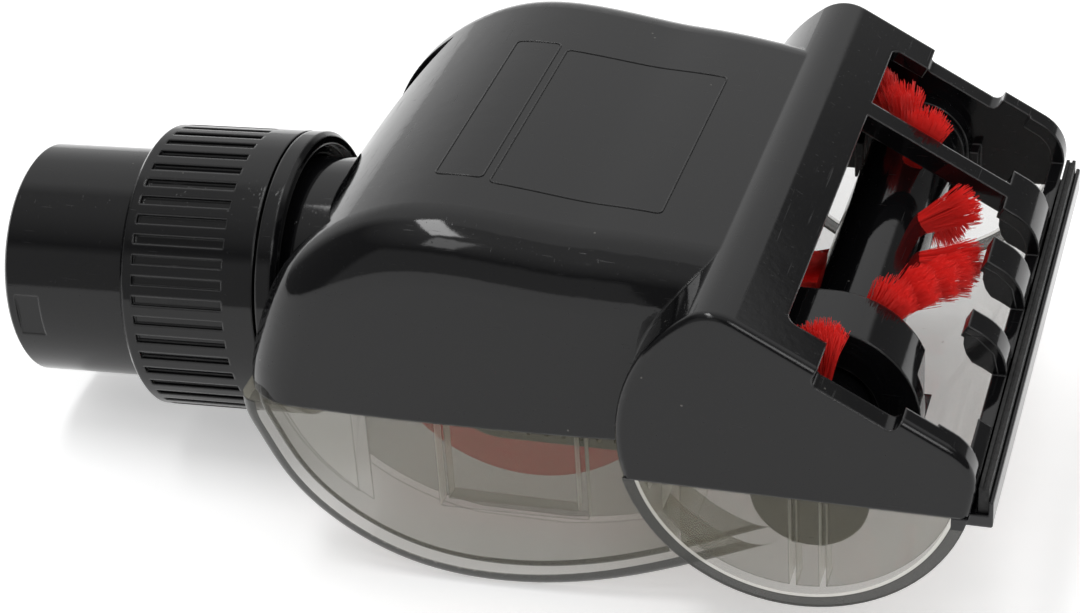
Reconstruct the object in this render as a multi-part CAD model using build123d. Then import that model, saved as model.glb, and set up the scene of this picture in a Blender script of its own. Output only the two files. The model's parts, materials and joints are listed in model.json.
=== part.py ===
from build123d import *
import math
import os

# Turbo brush head for a vacuum cleaner: an air turbine drives a bristle roller through a toothed belt.
# The head lies sole up. The origin is the centre of the connector tube's open end, +X runs forward
# to the roller, +Y to the side without the belt, and +Z towards the sole. All sizes are millimetres.

# Connector tube and swivel
TUBE_R = 18.0
TUBE_BORE_R = 16.0
TUBE_LENGTH = 30.0
TUBE_EDGE = 0.5
TUBE_FLANGE_R = 19.9
TUBE_FLANGE_LENGTH = 5.0
KEY_SLOT_WIDTH = 7.0
KEY_SLOT_LENGTH = 4.0
KEY_SLOT_START = 1.6
KEY_SLOT_DEPTH = 0.5
COLLAR_START = 21.2
COLLAR_R = 22.06
COLLAR_END = 43.0
COLLAR_EDGE = 0.7
GRIP_GROOVES = 44
GRIP_GROOVE_WIDTH = 1.4
GRIP_GROOVE_DEPTH = 0.7
GRIP_GROOVE_START = 23.4
GRIP_GROOVE_END = 38.0
RING_GAP = 0.5
RING_LENGTH = 3.0
RING_RECESS_R = 20.2
RING_RECESS_DEPTH = 1.5
SWIVEL_GAP = 0.35
SEAL_LENGTH = 1.8
SEAL_R = 19.2

# Neck tube, fixed in the housing
NECK_TILT = 2.5
NECK_R = 18.2
NECK_BORE_R = 15.5
NECK_BEAD_R = 19.6
NECK_BEAD_LENGTH = 2.6
NECK_END = 60.6
NECK_FLANGE_R = 20.9
NECK_HOLE_GAP = 0.1
NECK_FLANGE_GAP = 0.05

# Housing shells
PARTING_Z = 4.2
WALL = 2.0
REAR_X = 46.7
TOP_CURVE = [(48.2, 12.1), (52.2, 21.5), (60.3, 29.8), (71, 34.7), (81, 35.3), (95, 33.6), (118, 31.2)]
TOP_END_SLOPE = 0.15
LOW_CURVE = [(48.1, -1.5), (51.6, -8.3), (58.6, -15.9), (69.8, -21.9), (85, -24), (100, -22), (127, -12.5)]
LOW_END_SLOPE = 0.36
REST_Z = -23.6
SIDE_REAR = 38.0
SIDE_MIDDLE = 39.3
SIDE_FRONT = 35.4
TOP_EDGE_R = 8.5
LOW_EDGE_R = 3.0
POCKET_HALF = 29.3
POCKET_CENTRE_X = 54.0
POCKET_BULGE_R = 73.0

# Roller housing
DOME_X = 130.0
DOME_Z = 10.8
DOME_R = 24.6
BRUSH_HALF = 47.06
END_WALL = 3.51
SOLE_ANGLE = 29.5
SOLE_DISTANCE = 14.1
SOLE_REAR_R = 6.0
SOLE_FRONT_R = 7.0
END_EDGE_R = 1.1
MOUTH_REAR = -10.2
MOUTH_FRONT = 13.8
MOUTH_END = 7.16
MOUTH_CORNER_R = 1.5
NOTCH_REAR = -4.0
NOTCH_FRONT = 8.9
NOTCH_DEPTH = 2.3
NOTCH_CORNER_R = 1.2
COMB_FLOOR_Z = 8.6
COMB_GAP_SHARES = [(0.55, 0.912), (0.132, 0.31), (-0.295, -0.019), (-0.663, -0.393)]
LOW_LIP_DEPTH = 4.0
BAR_SHARE = 0.423
BAR_WIDTH = 3.8
BAR_HEIGHT = 3.0

# Roller parts
ROLLER_X = 131.6
ROLLER_Z = 10.4
CORE_R = 7.0
AXLE_R = 2.0
AXLE_DEPTH = 9.0
CAP_R = 7.8
CAP_THICKNESS = 1.0
BUSH_R = 4.0
BUSH_GAP = 0.04
BLOCK_GAP = 0.35
BLOCK_THICKNESS = 2.8
BLOCK_R = 8.3
BLOCK_DROP = 7.9
BLOCK_SEAT_GAP = 0.1
TUFT_SIDES = 8
TUFT_ROOT_R = 1.5
TUFT_ROOT_DEPTH = 2.3
TUFT_TIP_R = 2.2
TUFT_REACH = 16.0
TUFT_SIDE_GAP = 0.35
TUFT_BAR_GAP = 3.4
TUFTS_MIDDLE = 6
TUFTS_FAR = 3
ROW_LEAD_Y = 4.0
ROW_LEAD_ANGLE = 4.0
ROW_SLOPE_NEAR = 2.0
ROW_SLOPE_FAR = 3.3

# Turbine
TURBINE_X = 84.6
TURBINE_Z = 6.8
TURBINE_R = 22.8
TURBINE_FAR_Y = 26.0
TURBINE_DISC = 1.4
TURBINE_HUB_R = 5.0
BLADE_COUNT = 12
BLADE_THICKNESS = 1.2
BLADE_INNER_R = 11.0
BLADE_LEAN = 25.0
SHAFT_R = 2.0
BEARING_R = 6.5
BEARING_WIDTH = 4.0
BEARING_RACE = 1.2
BEARING_GAP = 0.03
BEARING_GROOVE = 0.4
MOUNT_R = 8.0
BOSS_R = 9.6
BOSS_GAP = 0.5
MOUNT_SIDE_GAP = 0.7
TURBINE_GAP = 1.0

# Belt drive
TOOTH_PITCH = 2.5
TURBINE_TEETH = 16
ROLLER_TEETH = 24
TOOTH_DEPTH = 0.7
BELT_FROM_END = 17.16
BELT_WIDTH = 6.0
BELT_THICKNESS = 1.7
BELT_GAP = 0.3
PULLEY_SIDE = 0.3
GUARD_GAP = 0.7
GUARD_WALL = 1.4
CHEEK_WALL = 1.2
SLOT_GAP = 1.0

# Inner walls and ribs
BULKHEAD_X = 109.5
BULKHEAD_WALL = 1.8
DIVIDER_WALL = 1.6
NOZZLE_HALF = 16.0
NOZZLE_LOW_Z = -12.0
NOZZLE_HIGH_Z = -4.0
NOZZLE_LIP = 4.0
FRAME_X = 87.0
FRAME_WIDTH = 22.0
FRAME_BOTTOM_Z = -11.5
FRAME_RIB = 1.4
FRAME_DEPTH = 1.6
END_RIB_PITCH = 4.2
END_RIB_WIDTH = 0.9

# Front strip in its channel
STRIP_END = 2.06
STRIP_X = 154.7
STRIP_THICKNESS = 1.4
STRIP_BASE_Z = 3.8
STRIP_TOP_Z = 8.2
STRIP_GROOVE = 0.4
CHANNEL_WALL = 0.6
CHANNEL_DEPTH = 1.4
CHANNEL_LIP_Z = 6.4
CHANNEL_EDGE_R = 0.35
STRIP_GAP = 0.1

# Values worked out from those above
OPEN = 60.0
turbine_pulley_r = TOOTH_PITCH * TURBINE_TEETH / (2 * math.pi)
roller_pulley_r = TOOTH_PITCH * ROLLER_TEETH / (2 * math.pi)
belt_turbine_r = turbine_pulley_r + BELT_GAP
belt_roller_r = roller_pulley_r + BELT_GAP
belt_y = BELT_FROM_END - BRUSH_HALF
belt_near = belt_y - BELT_WIDTH / 2
belt_far = belt_y + BELT_WIDTH / 2
near_mount_start = belt_far + PULLEY_SIDE + MOUNT_SIDE_GAP
near_mount_end = near_mount_start + BEARING_WIDTH
divider_y = (near_mount_start + near_mount_end) / 2
turbine_near_y = near_mount_end + BOSS_GAP
guard_r = belt_roller_r + BELT_THICKNESS + GUARD_GAP
guard_near = belt_near - GUARD_GAP - CHEEK_WALL
guard_far = belt_far + GUARD_GAP + CHEEK_WALL
end_wall_face = BRUSH_HALF - END_WALL
block_back = end_wall_face - BLOCK_SEAT_GAP
block_face = block_back - BLOCK_THICKNESS
core_half = block_face - BLOCK_GAP - CAP_THICKNESS
mouth_half = BRUSH_HALF - MOUTH_END
strip_half = BRUSH_HALF - STRIP_END
bar_y = BAR_SHARE * BRUSH_HALF
seal_start = TUBE_LENGTH + SWIVEL_GAP
neck_start = seal_start + SEAL_LENGTH
neck_bead_end = neck_start + NECK_BEAD_LENGTH
sole_cos = math.cos(math.radians(SOLE_ANGLE))
sole_sin = math.sin(math.radians(SOLE_ANGLE))
sole_plane = Plane(
    origin=(DOME_X + SOLE_DISTANCE * sole_sin, 0, DOME_Z + SOLE_DISTANCE * sole_cos),
    x_dir=(sole_cos, 0, -sole_sin),
    z_dir=(sole_sin, 0, sole_cos),
)


def box(x0, x1, y0, y1, z0, z1):
    """A block between two corners."""
    return Pos((x0 + x1) / 2, (y0 + y1) / 2, (z0 + z1) / 2) * Box(x1 - x0, y1 - y0, z1 - z0)


def sole_box(u0, u1, y0, y1, w0, w1):
    """A block laid along the sole: u runs forward down the slope, w stands out of it."""
    return sole_plane * box(u0, u1, y0, y1, w0, w1)


def disc(r, x, z, y0, y1):
    """A cylinder across the head, with its axis along Y."""
    return Pos(x, (y0 + y1) / 2, z) * Rot(90, 0, 0) * Cylinder(r, y1 - y0)


def on_turbine(r, y0, y1):
    """A cylinder on the turbine's axis."""
    return disc(r, TURBINE_X, TURBINE_Z, y0, y1)


def barrel(r, x0, x1):
    """A cylinder along the head, with its axis along X."""
    return Pos((x0 + x1) / 2, 0, 0) * Rot(0, 90, 0) * Cylinder(r, x1 - x0)


def tube(r_out, r_in, x0, x1):
    """A length of pipe along X."""
    return barrel(r_out, x0, x1) - barrel(r_in, x0 - 1, x1 + 1)


def ends(side, start, stop):
    """Orders two distances from the middle plane on one side of it."""
    return sorted((side * start, side * stop))


def across(face, y0, y1):
    """Extrudes a face drawn in X and Z from y0 to y1."""
    return Pos(0, y1, 0) * extrude(Plane.XZ * face, y1 - y0)


def along_neck(shape):
    """Tilts a piece of the neck, which rises forward from the tube's mouth."""
    return Rot(0, -NECK_TILT, 0) * shape


def above(shape):
    """The part of a shape on the sole side of the parting plane."""
    return shape & box(-OPEN, 4 * OPEN, -OPEN, OPEN, PARTING_Z, OPEN)


def below(shape):
    """The part of a shape on the clear cover's side of the parting plane."""
    return shape & box(-OPEN, 4 * OPEN, -OPEN, OPEN, -OPEN, PARTING_Z)


def inset_curve(points, start_way, end_way, inset):
    """A smooth curve through points, moved to its right-hand side by an inset."""
    curve = Spline(*points, tangents=(start_way, end_way))
    if not inset:
        return curve
    moved = []
    for point in points:
        way = curve.tangent_at(curve.param_at_point(point))
        moved.append((point[0] + inset * way.Y, point[1] - inset * way.X))
    return Spline(*moved, tangents=(start_way, end_way))


def chamber_face(inset):
    """Side view of the turbine chamber."""
    rear = (REAR_X, PARTING_Z)
    top = inset_curve([rear, *TOP_CURVE], (0, 1), (1, -TOP_END_SLOPE), inset)
    low = inset_curve([*LOW_CURVE[::-1], rear], (-1, -LOW_END_SLOPE), (0, 1), inset)
    return make_face([top, Line(top @ 1, low @ 0), low])


def chamber_plan(inset):
    """Plan view of the turbine chamber, wider in the middle of its length."""
    rear_x = REAR_X - 12
    front_x = DOME_X
    middle_x = (rear_x + front_x) / 2
    near = ThreePointArc(
        (rear_x, inset - SIDE_REAR), (middle_x, inset - SIDE_MIDDLE), (front_x, inset - SIDE_FRONT)
    )
    far = ThreePointArc(
        (rear_x, SIDE_REAR - inset), (middle_x, SIDE_MIDDLE - inset), (front_x, SIDE_FRONT - inset)
    )
    rear = Line((rear_x, inset - SIDE_REAR), (rear_x, SIDE_REAR - inset))
    front = Line((front_x, inset - SIDE_FRONT), (front_x, SIDE_FRONT - inset))
    return make_face([near, front, far, rear])


def neck_pocket(inset):
    """The room behind the chamber in which the swivel turns, with a bulged wall round the neck."""
    half = POCKET_HALF + inset
    room = box(REAR_X - 20, POCKET_CENTRE_X + 30, -half, half, -OPEN, OPEN)
    bulge_x = POCKET_CENTRE_X + POCKET_BULGE_R
    return room - Pos(bulge_x, 0, 0) * Cylinder(POCKET_BULGE_R - inset, 4 * OPEN)


def chamber(inset, edge_r, keep):
    """The turbine chamber as a solid, on one side of the parting plane, with its long edges rounded."""
    block = across(chamber_face(inset), -OPEN, OPEN)
    block = block & (Pos(0, 0, -OPEN) * extrude(chamber_plan(inset), 2 * OPEN))
    block = keep(block)
    side_edges = [
        edge
        for edge in block.edges()
        if abs(edge.center().Y) > SIDE_FRONT - inset - 1
        and edge.bounding_box().size.X > (TURBINE_X - REAR_X)
        and edge.bounding_box().size.Z > WALL
    ]
    block = fillet(side_edges, edge_r)
    block = block & box(0, 4 * OPEN, -OPEN, OPEN, REST_Z + inset, OPEN)
    return block - neck_pocket(inset)


def brush_face(inset):
    """Side view of the roller housing: a round dome cut off by the sloping sole."""
    round_part = Pos(DOME_X, DOME_Z) * Circle(DOME_R - inset)
    depth = SOLE_DISTANCE - inset
    cut = Pos(0, depth + OPEN / 2) * Rectangle(2 * OPEN, OPEN)
    face = round_part - Pos(DOME_X, DOME_Z) * Rot(0, 0, -SOLE_ANGLE) * cut
    corners = face.vertices().sort_by(Axis.X)
    face = fillet(corners[0], SOLE_REAR_R - inset)
    corners = face.vertices().sort_by(Axis.X)
    return fillet(corners[-1], SOLE_FRONT_R - inset)


def brush_room(inset):
    """The roller housing as a solid over both shells."""
    half = BRUSH_HALF - inset
    return across(brush_face(inset), -half, half)


def bulkhead():
    """The wall between turbine and roller, with slots for the belt and the air."""
    wall = box(BULKHEAD_X, BULKHEAD_X + BULKHEAD_WALL, -BRUSH_HALF, BRUSH_HALF, -OPEN, OPEN)
    return wall - belt_slot()


def belt_centre_z(x):
    """Height of the belt's centre line between the two shafts."""
    share = (x - TURBINE_X) / (ROLLER_X - TURBINE_X)
    return TURBINE_Z + share * (ROLLER_Z - TURBINE_Z)


def belt_slot():
    """The opening in the bulkhead for both runs of the belt."""
    middle_z = belt_centre_z(BULKHEAD_X)
    half_height = belt_roller_r + BELT_THICKNESS + SLOT_GAP
    return box(
        BULKHEAD_X - 1,
        BULKHEAD_X + BULKHEAD_WALL + 1,
        belt_near - SLOT_GAP,
        belt_far + SLOT_GAP,
        middle_z - half_height,
        middle_z + half_height,
    )


def divider():
    """The wall between turbine and belt, with a boss for the near bearing's mount."""
    half = DIVIDER_WALL / 2
    wall = box(REAR_X, BULKHEAD_X + BULKHEAD_WALL, divider_y - half, divider_y + half, -OPEN, OPEN)
    return wall + on_turbine(BOSS_R, near_mount_start, near_mount_end)


def far_mount():
    """Ends of the far bearing's mount, just clear of the turbine wheel."""
    near = TURBINE_FAR_Y + BOSS_GAP
    return near, near + BEARING_WIDTH


def far_boss():
    """The boss on the far side wall that carries the far bearing's mount."""
    near = far_mount()[0]
    return on_turbine(BOSS_R, near, SIDE_MIDDLE - WALL / 2)


def mount_seats():
    """The round seats of both bearing mounts and the shaft's passage."""
    return on_turbine(MOUNT_R, near_mount_start, near_mount_end) + on_turbine(MOUNT_R, *far_mount())


def guard():
    """The arch over the roller pulley that keeps bristles and threads off the belt."""
    body = disc(guard_r + GUARD_WALL, ROLLER_X, ROLLER_Z, guard_near, guard_far)
    roof_z = ROLLER_Z + guard_r
    root = box(BULKHEAD_X, ROLLER_X, guard_near, guard_far, roof_z, roof_z + GUARD_WALL)
    room = disc(guard_r, ROLLER_X, ROLLER_Z, guard_near + CHEEK_WALL, guard_far - CHEEK_WALL)
    core_r = CORE_R + SLOT_GAP
    core_way = disc(core_r, ROLLER_X, ROLLER_Z, guard_near - 1, guard_far + 1)
    core_way += box(ROLLER_X - core_r, ROLLER_X + core_r, guard_near - 1, guard_far + 1, -OPEN, ROLLER_Z)
    belt_way = box(BULKHEAD_X, ROLLER_X, guard_near + CHEEK_WALL, guard_far - CHEEK_WALL, -OPEN, roof_z)
    return above(body + root - room - core_way - belt_way)


def block_outline(r):
    """End view of a roller bearing block: round at both ends, with straight sides."""
    high = Pos(ROLLER_X, ROLLER_Z) * Circle(r)
    low = Pos(ROLLER_X, ROLLER_Z - BLOCK_DROP) * Circle(r)
    middle = Pos(ROLLER_X, ROLLER_Z - BLOCK_DROP / 2) * Rectangle(2 * r, BLOCK_DROP)
    return high + low + middle


def end_ribs(side):
    """Two upright ribs on an end wall, cut out where they hold a bearing block."""
    y0, y1 = ends(side, block_face + BLOCK_SEAT_GAP, BRUSH_HALF - WALL / 2)
    ribs = []
    for step in (-0.5, 0.5):
        x = ROLLER_X + step * END_RIB_PITCH
        ribs.append(box(x - END_RIB_WIDTH / 2, x + END_RIB_WIDTH / 2, y0, y1, -OPEN, OPEN))
    return ribs[0] + ribs[1]


def block_guides(side):
    """Ribs before and behind a bearing block, in which it slides home."""
    y0, y1 = ends(side, block_face + BLOCK_SEAT_GAP, BRUSH_HALF - WALL / 2)
    guides = []
    for way in (-1, 1):
        inner = ROLLER_X + way * (BLOCK_R + BLOCK_SEAT_GAP)
        x0, x1 = sorted((inner, inner + way * FRAME_RIB))
        guides.append(box(x0, x1, y0, y1, PARTING_Z, ROLLER_Z))
    return guides[0] + guides[1]


def mouth():
    """The opening through the sole's skin, wider between the notches of the end walls."""
    outline = Pos((MOUTH_REAR + MOUTH_FRONT) / 2, 0) * RectangleRounded(
        MOUTH_FRONT - MOUTH_REAR, 2 * mouth_half, MOUTH_CORNER_R
    )
    opening = sole_plane * extrude(outline, 2 * WALL, both=True)
    return opening + sole_box(NOTCH_REAR, MOUTH_FRONT, -end_wall_face, end_wall_face, -2 * WALL, WALL)


def notches():
    """The notches across both end walls, with rounded inner corners."""
    outline = Pos((NOTCH_REAR + NOTCH_FRONT) / 2, 0) * RectangleRounded(
        NOTCH_FRONT - NOTCH_REAR, 2 * NOTCH_DEPTH, NOTCH_CORNER_R
    )
    across_all = sole_plane * across(outline, -OPEN, OPEN)
    return across_all - sole_box(2 * NOTCH_REAR, 2 * NOTCH_FRONT, -mouth_half, mouth_half, -OPEN, OPEN)


def comb_gaps():
    """The gaps between the raised teeth of the front lip, and its low stretch at the near end."""
    lip_x = DOME_X + SOLE_DISTANCE
    front_x = DOME_X + DOME_R + 1
    gaps = sole_box(
        MOUTH_FRONT - 1,
        MOUTH_FRONT + DOME_R,
        -COMB_GAP_SHARES[0][1] * BRUSH_HALF,
        COMB_GAP_SHARES[-1][0] * BRUSH_HALF,
        -LOW_LIP_DEPTH,
        WALL,
    )
    for low, high in COMB_GAP_SHARES:
        gaps += box(lip_x, front_x, low * BRUSH_HALF, high * BRUSH_HALF, COMB_FLOOR_Z, OPEN)
    return gaps


def bar():
    """The bar across the mouth, from its rear edge to the front lip."""
    return sole_box(
        MOUTH_REAR - 1, MOUTH_FRONT + 2, bar_y - BAR_WIDTH / 2, bar_y + BAR_WIDTH / 2, -BAR_HEIGHT, 0
    )


def neck_hole():
    """The round hole for the neck tube, shared by both shells."""
    return along_neck(barrel(NECK_R + NECK_HOLE_GAP, POCKET_CENTRE_X - 12, POCKET_CENTRE_X + 12))


def turbine_room():
    """The space kept clear round the turbine wheel."""
    return on_turbine(TURBINE_R + TURBINE_GAP, near_mount_end, TURBINE_FAR_Y + BOSS_GAP)


def inner_walls():
    """The walls and bosses round the turbine, before the shells share them."""
    return bulkhead() + divider() + far_boss() - mount_seats()


def end_walls():
    """The thick end walls of the base, against which the bearing blocks sit."""
    near = box(BULKHEAD_X, 4 * OPEN, -BRUSH_HALF, -end_wall_face, PARTING_Z, OPEN)
    far = box(BULKHEAD_X, 4 * OPEN, end_wall_face, BRUSH_HALF, PARTING_Z, OPEN)
    return near + far


def base_housing():
    """The black shell: sole, mouth, comb lip and the upper half of the inner walls."""
    end = above(brush_room(0))
    rim = [
        edge
        for edge in end.edges()
        if abs(abs(edge.center().Y) - BRUSH_HALF) < WALL / 2 and edge.center().Z > PARTING_Z + 1
    ]
    outer = chamber(0, TOP_EDGE_R, above) + fillet(rim, END_EDGE_R)
    inner = chamber(WALL, TOP_EDGE_R - WALL, above) + above(brush_room(WALL))
    shell = outer - inner - mouth()
    fittings = inner_walls() + guard() + block_guides(-1) + block_guides(1) + end_walls()
    shell += above(fittings - turbine_room()) & outer
    shell += bar() & outer
    return shell - notches() - comb_gaps() - block_room() - neck_hole()


def block_room():
    """The space that the two bearing blocks fill."""
    outline = block_outline(BLOCK_R + BLOCK_SEAT_GAP)
    near = across(outline, -block_back - BLOCK_SEAT_GAP, -block_face + BLOCK_SEAT_GAP)
    far = across(outline, block_face - BLOCK_SEAT_GAP, block_back + BLOCK_SEAT_GAP)
    return near + far


def bearing_frame():
    """The square rib frame on the near side wall of the cover."""
    wall_y = WALL / 2 - SIDE_MIDDLE
    depth = FRAME_DEPTH + WALL
    x0 = FRAME_X - FRAME_WIDTH / 2
    x1 = x0 + FRAME_WIDTH
    outer = box(x0, x1, wall_y, wall_y + depth, FRAME_BOTTOM_Z, PARTING_Z)
    inner = box(x0 + FRAME_RIB, x1 - FRAME_RIB, wall_y, wall_y + depth, FRAME_BOTTOM_Z + FRAME_RIB, OPEN)
    return outer - inner


def nozzle():
    """The lips round the air opening, aimed at the lower half of the turbine."""
    outer = box(
        BULKHEAD_X - NOZZLE_LIP,
        BULKHEAD_X + 1,
        -NOZZLE_HALF - DIVIDER_WALL,
        NOZZLE_HALF + DIVIDER_WALL,
        NOZZLE_LOW_Z - DIVIDER_WALL,
        NOZZLE_HIGH_Z + DIVIDER_WALL,
    )
    return outer


def strip_channel():
    """The channel along the cover's front edge that holds the strip."""
    front = STRIP_X + STRIP_THICKNESS + STRIP_GAP + CHANNEL_WALL
    half = strip_half + STRIP_GAP + CHANNEL_WALL
    low = STRIP_BASE_Z - CHANNEL_DEPTH
    root = box(DOME_X + DOME_R - 2 * WALL, front, -half, half, low, PARTING_Z)
    lip = box(front - CHANNEL_WALL, front, -half, half, low, CHANNEL_LIP_Z)
    room_half = half - CHANNEL_WALL
    room = box(STRIP_X - STRIP_GAP, front - CHANNEL_WALL, -room_half, room_half, STRIP_BASE_Z, OPEN)
    lip_edge = (root + lip).edges().filter_by(Axis.Y).sort_by(Axis.X)[-2:]
    return fillet(lip_edge, CHANNEL_EDGE_R) - room


def clear_cover():
    """The see-through shell: turbine window, roller dome and the lower half of the inner walls."""
    outer = chamber(0, LOW_EDGE_R, below) + below(brush_room(0))
    inner = chamber(WALL, LOW_EDGE_R - WALL / 2, below) + below(brush_room(WALL))
    air_way = box(0, BULKHEAD_X + OPEN / 2, -NOZZLE_HALF, NOZZLE_HALF, NOZZLE_LOW_Z, NOZZLE_HIGH_Z)
    fittings = inner_walls() + nozzle() - air_way + bearing_frame() + end_ribs(-1) + end_ribs(1)
    shell = outer - inner + (below(fittings - turbine_room()) & outer)
    shell += strip_channel() - brush_room(WALL)
    return shell - block_room() - neck_hole()


def connector_tube():
    """The plain tube that takes the wand, with a flange held inside the collar."""
    pipe = tube(TUBE_R, TUBE_BORE_R, 0, TUBE_LENGTH)
    rim = [edge for edge in pipe.edges().filter_by(GeomType.CIRCLE) if edge.radius > TUBE_BORE_R]
    pipe = chamfer(ShapeList(rim).sort_by(Axis.X)[0], TUBE_EDGE)
    pipe += tube(TUBE_FLANGE_R, TUBE_BORE_R, TUBE_LENGTH - TUBE_FLANGE_LENGTH, TUBE_LENGTH)
    slot = box(
        KEY_SLOT_START,
        KEY_SLOT_START + KEY_SLOT_LENGTH,
        -TUBE_R - 1,
        KEY_SLOT_DEPTH - TUBE_R,
        -KEY_SLOT_WIDTH / 2,
        KEY_SLOT_WIDTH / 2,
    )
    return along_neck(pipe - slot)


def grip_collar():
    """The ribbed collar that turns with the tube."""
    body = barrel(COLLAR_R, COLLAR_START, COLLAR_END)
    rim = [edge for edge in body.edges() if abs(edge.center().X - COLLAR_START) < 0.01]
    body = chamfer(rim, COLLAR_EDGE)
    body -= barrel(TUBE_R, COLLAR_START - 1, COLLAR_END + 1)
    flange_start = TUBE_LENGTH - TUBE_FLANGE_LENGTH
    body -= barrel(TUBE_FLANGE_R, flange_start, COLLAR_END + 1)
    length = GRIP_GROOVE_END - GRIP_GROOVE_START
    groove = Box(length, GRIP_GROOVE_WIDTH, 2 * GRIP_GROOVE_DEPTH)
    middle = (GRIP_GROOVE_START + GRIP_GROOVE_END) / 2
    grooves = [
        Rot(360 * i / GRIP_GROOVES, 0, 0) * Pos(middle, 0, COLLAR_R) * groove for i in range(GRIP_GROOVES)
    ]
    return along_neck(body - grooves)


def swivel_retaining_ring():
    """The front ring that snaps into the collar and holds it on the neck."""
    start = COLLAR_END + RING_GAP
    end = start + RING_LENGTH
    ring = barrel(COLLAR_R, start, end)
    rim = [edge for edge in ring.edges() if abs(edge.center().X - end) < 0.01]
    ring = chamfer(rim, COLLAR_EDGE)
    ring += barrel(TUBE_FLANGE_R, neck_bead_end + SWIVEL_GAP, start)
    ring -= barrel(NECK_R + SWIVEL_GAP, 0, end + 1)
    ring -= barrel(RING_RECESS_R, end - RING_RECESS_DEPTH, end + 1)
    return along_neck(ring)


def swivel_seal():
    """The felt ring between the tube's flange and the neck."""
    return along_neck(tube(SEAL_R, NECK_BORE_R, seal_start, neck_start))


def neck_tube():
    """The neck with its retaining bead and the saddle flange behind the housing wall."""
    neck = barrel(NECK_R, neck_start, NECK_END)
    neck += barrel(NECK_BEAD_R, neck_start, neck_bead_end)
    neck = along_neck(neck)
    flange = along_neck(barrel(NECK_FLANGE_R, POCKET_CENTRE_X, NECK_END))
    inset = WALL + NECK_FLANGE_GAP
    room = chamber(inset, TOP_EDGE_R - inset, above) + chamber(inset, LOW_EDGE_R - WALL / 2, below)
    flange = flange & room
    return neck + flange - along_neck(barrel(NECK_BORE_R, 0, NECK_END + 5))


def turbine_wheel():
    """The red turbine: two discs with leaning blades between them, on a hollow drum and a hub."""
    near_inner = turbine_near_y + TURBINE_DISC
    far_inner = TURBINE_FAR_Y - TURBINE_DISC
    wheel = on_turbine(TURBINE_R, turbine_near_y, near_inner)
    wheel += on_turbine(TURBINE_R, far_inner, TURBINE_FAR_Y)
    drum = on_turbine(BLADE_INNER_R, turbine_near_y, TURBINE_FAR_Y)
    wheel += drum - on_turbine(BLADE_INNER_R - BLADE_THICKNESS, near_inner, far_inner)
    wheel += on_turbine(TURBINE_HUB_R, turbine_near_y, TURBINE_FAR_Y)
    reach = TURBINE_R - BLADE_INNER_R
    blade = Pos(reach / 2, 0) * Rectangle(reach + BLADE_THICKNESS, BLADE_THICKNESS)
    for i in range(BLADE_COUNT):
        leaning = Rot(0, 0, 360 * i / BLADE_COUNT) * Pos(BLADE_INNER_R, 0) * Rot(0, 0, -BLADE_LEAN) * blade
        face = Pos(TURBINE_X, TURBINE_Z) * (leaning & Circle(TURBINE_R))
        wheel += across(face, turbine_near_y, TURBINE_FAR_Y)
    return wheel - on_turbine(SHAFT_R, -OPEN, OPEN)


def turbine_shaft():
    """The steel shaft, from the pulley's outer face to the far bearing."""
    return on_turbine(SHAFT_R, belt_near - PULLEY_SIDE, far_mount()[1])


def bearing(y0, y1):
    """A small ball bearing drawn as one ring with a groove between its races."""
    bore_r = SHAFT_R + BEARING_GAP
    ring = on_turbine(BEARING_R, y0, y1) - on_turbine(bore_r, y0 - 1, y1 + 1)
    for start, end in ((y0, y0 + BEARING_GROOVE), (y1 - BEARING_GROOVE, y1)):
        groove = on_turbine(BEARING_R - BEARING_RACE, start, end)
        ring -= groove - on_turbine(bore_r + BEARING_RACE, start, end)
    return ring


def bearing_mount(y0, y1):
    """The rubber ring that holds a bearing in its boss."""
    return on_turbine(MOUNT_R, y0, y1) - on_turbine(BEARING_R, y0 - 1, y1 + 1)


def belt_tooth():
    """The space between two teeth, narrower at its foot."""
    half = TOOTH_PITCH / 4
    foot = half / 2
    depth = TOOTH_DEPTH
    return make_face(Polyline((-depth, -foot), (-depth, foot), (depth, half), (depth, -half), close=True))


def toothed_disc(radius, teeth, x, z, bore_r):
    """A toothed belt pulley."""
    notch = Pos(radius, 0) * belt_tooth()
    outline = Circle(radius) - [Rot(0, 0, 360 * i / teeth) * notch for i in range(teeth)] - Circle(bore_r)
    return across(Pos(x, z) * outline, belt_near - PULLEY_SIDE, belt_far + PULLEY_SIDE)


def belt_loop(thickness):
    """Side view of the belt's loop, grown by a thickness from its inner face."""
    r1 = belt_turbine_r + thickness
    r2 = belt_roller_r + thickness
    dx = ROLLER_X - TURBINE_X
    dz = ROLLER_Z - TURBINE_Z
    lean = math.acos((r1 - r2) / math.hypot(dx, dz))
    way = math.atan2(dz, dx)
    points = []
    for side in (1, -1):
        c = math.cos(way + side * lean)
        s = math.sin(way + side * lean)
        points.append(((TURBINE_X + r1 * c, TURBINE_Z + r1 * s), (ROLLER_X + r2 * c, ROLLER_Z + r2 * s)))
    strand = make_face(Polyline(points[0][0], points[0][1], points[1][1], points[1][0], close=True))
    return strand + Pos(TURBINE_X, TURBINE_Z) * Circle(r1) + Pos(ROLLER_X, ROLLER_Z) * Circle(r2)


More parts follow.
